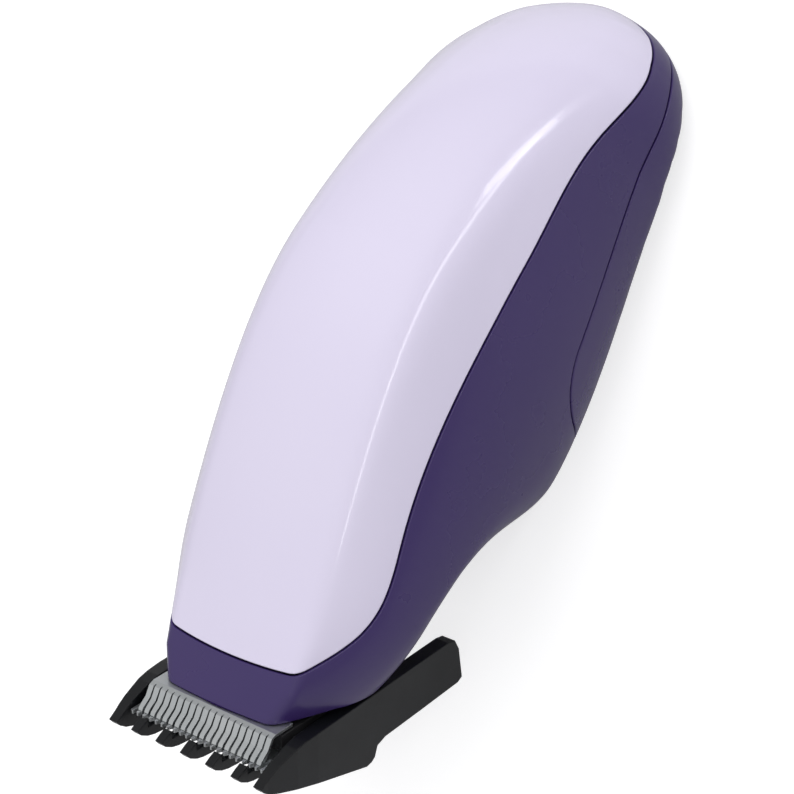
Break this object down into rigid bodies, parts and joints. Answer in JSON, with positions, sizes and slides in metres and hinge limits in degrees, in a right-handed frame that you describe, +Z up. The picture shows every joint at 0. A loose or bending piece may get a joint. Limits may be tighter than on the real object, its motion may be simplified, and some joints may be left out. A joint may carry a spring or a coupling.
{
  "type": "hair clipper",
  "caption": "Curved hand-held battery hair clipper: lilac cover over a purple body, steel toothed blade set at an angled nose, and a black slide-on guide comb.",
  "frame": {"origin": "bottom centre of the bounding box, with the clipper lying on the hump and tail of its battery door", "axes": "+Y from the blades back to the tail, +Z up from the table, +X across the clipper"},
  "size_m": [0.047, 0.1208, 0.0479],
  "materials": {
    "cover_lilac": "gloss",
    "housing_purple": "gloss",
    "tray_black": "matte",
    "screw_steel": "ground",
    "cell_jacket": "printed",
    "contact_brass": "bright",
    "can_steel": "ground",
    "magnet_dark": "sintered",
    "drive_ivory": "matte",
    "blade_steel": "ground",
    "comb_black": "matte",
    "lead_red": "soft",
    "lead_black": "soft",
    "lead_white": "soft"
  },
  "bodies": {
    "clipper_body": {"top_cover": "cover_lilac", "main_housing": "housing_purple", "battery_tray": "tray_black", "tray_screws": "screw_steel", "battery_cells": "cell_jacket", "battery_terminals": "contact_brass", "battery_link": "contact_brass", "motor_can": "can_steel", "motor_end_cap": "tray_black", "motor_terminals": "contact_brass", "motor_magnets": "magnet_dark", "shaft_bushes": "contact_brass", "fixed_blade": "blade_steel", "blade_carrier": "tray_black", "blade_screws": "screw_steel", "cutter_spring": "screw_steel", "switch_body": "can_steel", "battery_lead": "lead_red", "ground_lead": "lead_black", "motor_lead": "lead_white", "cover_screw": "screw_steel"},
    "battery_door": {"battery_door": "housing_purple"},
    "crank_shaft": {"motor_armature": "can_steel", "eccentric_cam": "drive_ivory"},
    "cutter": {"moving_cutter": "blade_steel", "cutter_follower": "drive_ivory"},
    "comb": {"guide_comb": "comb_black"},
    "switch": {"switch_knob": "tray_black", "switch_contact": "contact_brass"}
  },
  "joints": [
    {"name": "battery_door_slide", "type": "slide", "parent": "clipper_body", "child": "battery_door", "axis": [0, 0.5835, -0.8121], "range_m": [0, 0.06]},
    {"name": "crank_spin", "type": "hinge", "parent": "clipper_body", "child": "crank_shaft", "pos_m": [0, -0.03159, 0.0337], "axis": [0, 0.9114, -0.4115], "continuous": true},
    {"name": "cutter_slide", "type": "slide", "parent": "clipper_body", "child": "cutter", "axis": [1, 0, 0], "range_m": [-0.0006, 0.0006]},
    {"name": "comb_slide", "type": "slide", "parent": "clipper_body", "child": "comb", "axis": [0, -0.471, 0.8821], "range_m": [0, 0.045]},
    {"name": "switch_slide", "type": "slide", "parent": "clipper_body", "child": "switch", "axis": [0, 0.471, -0.8821], "range_m": [0, 0.0025]}
  ]
}
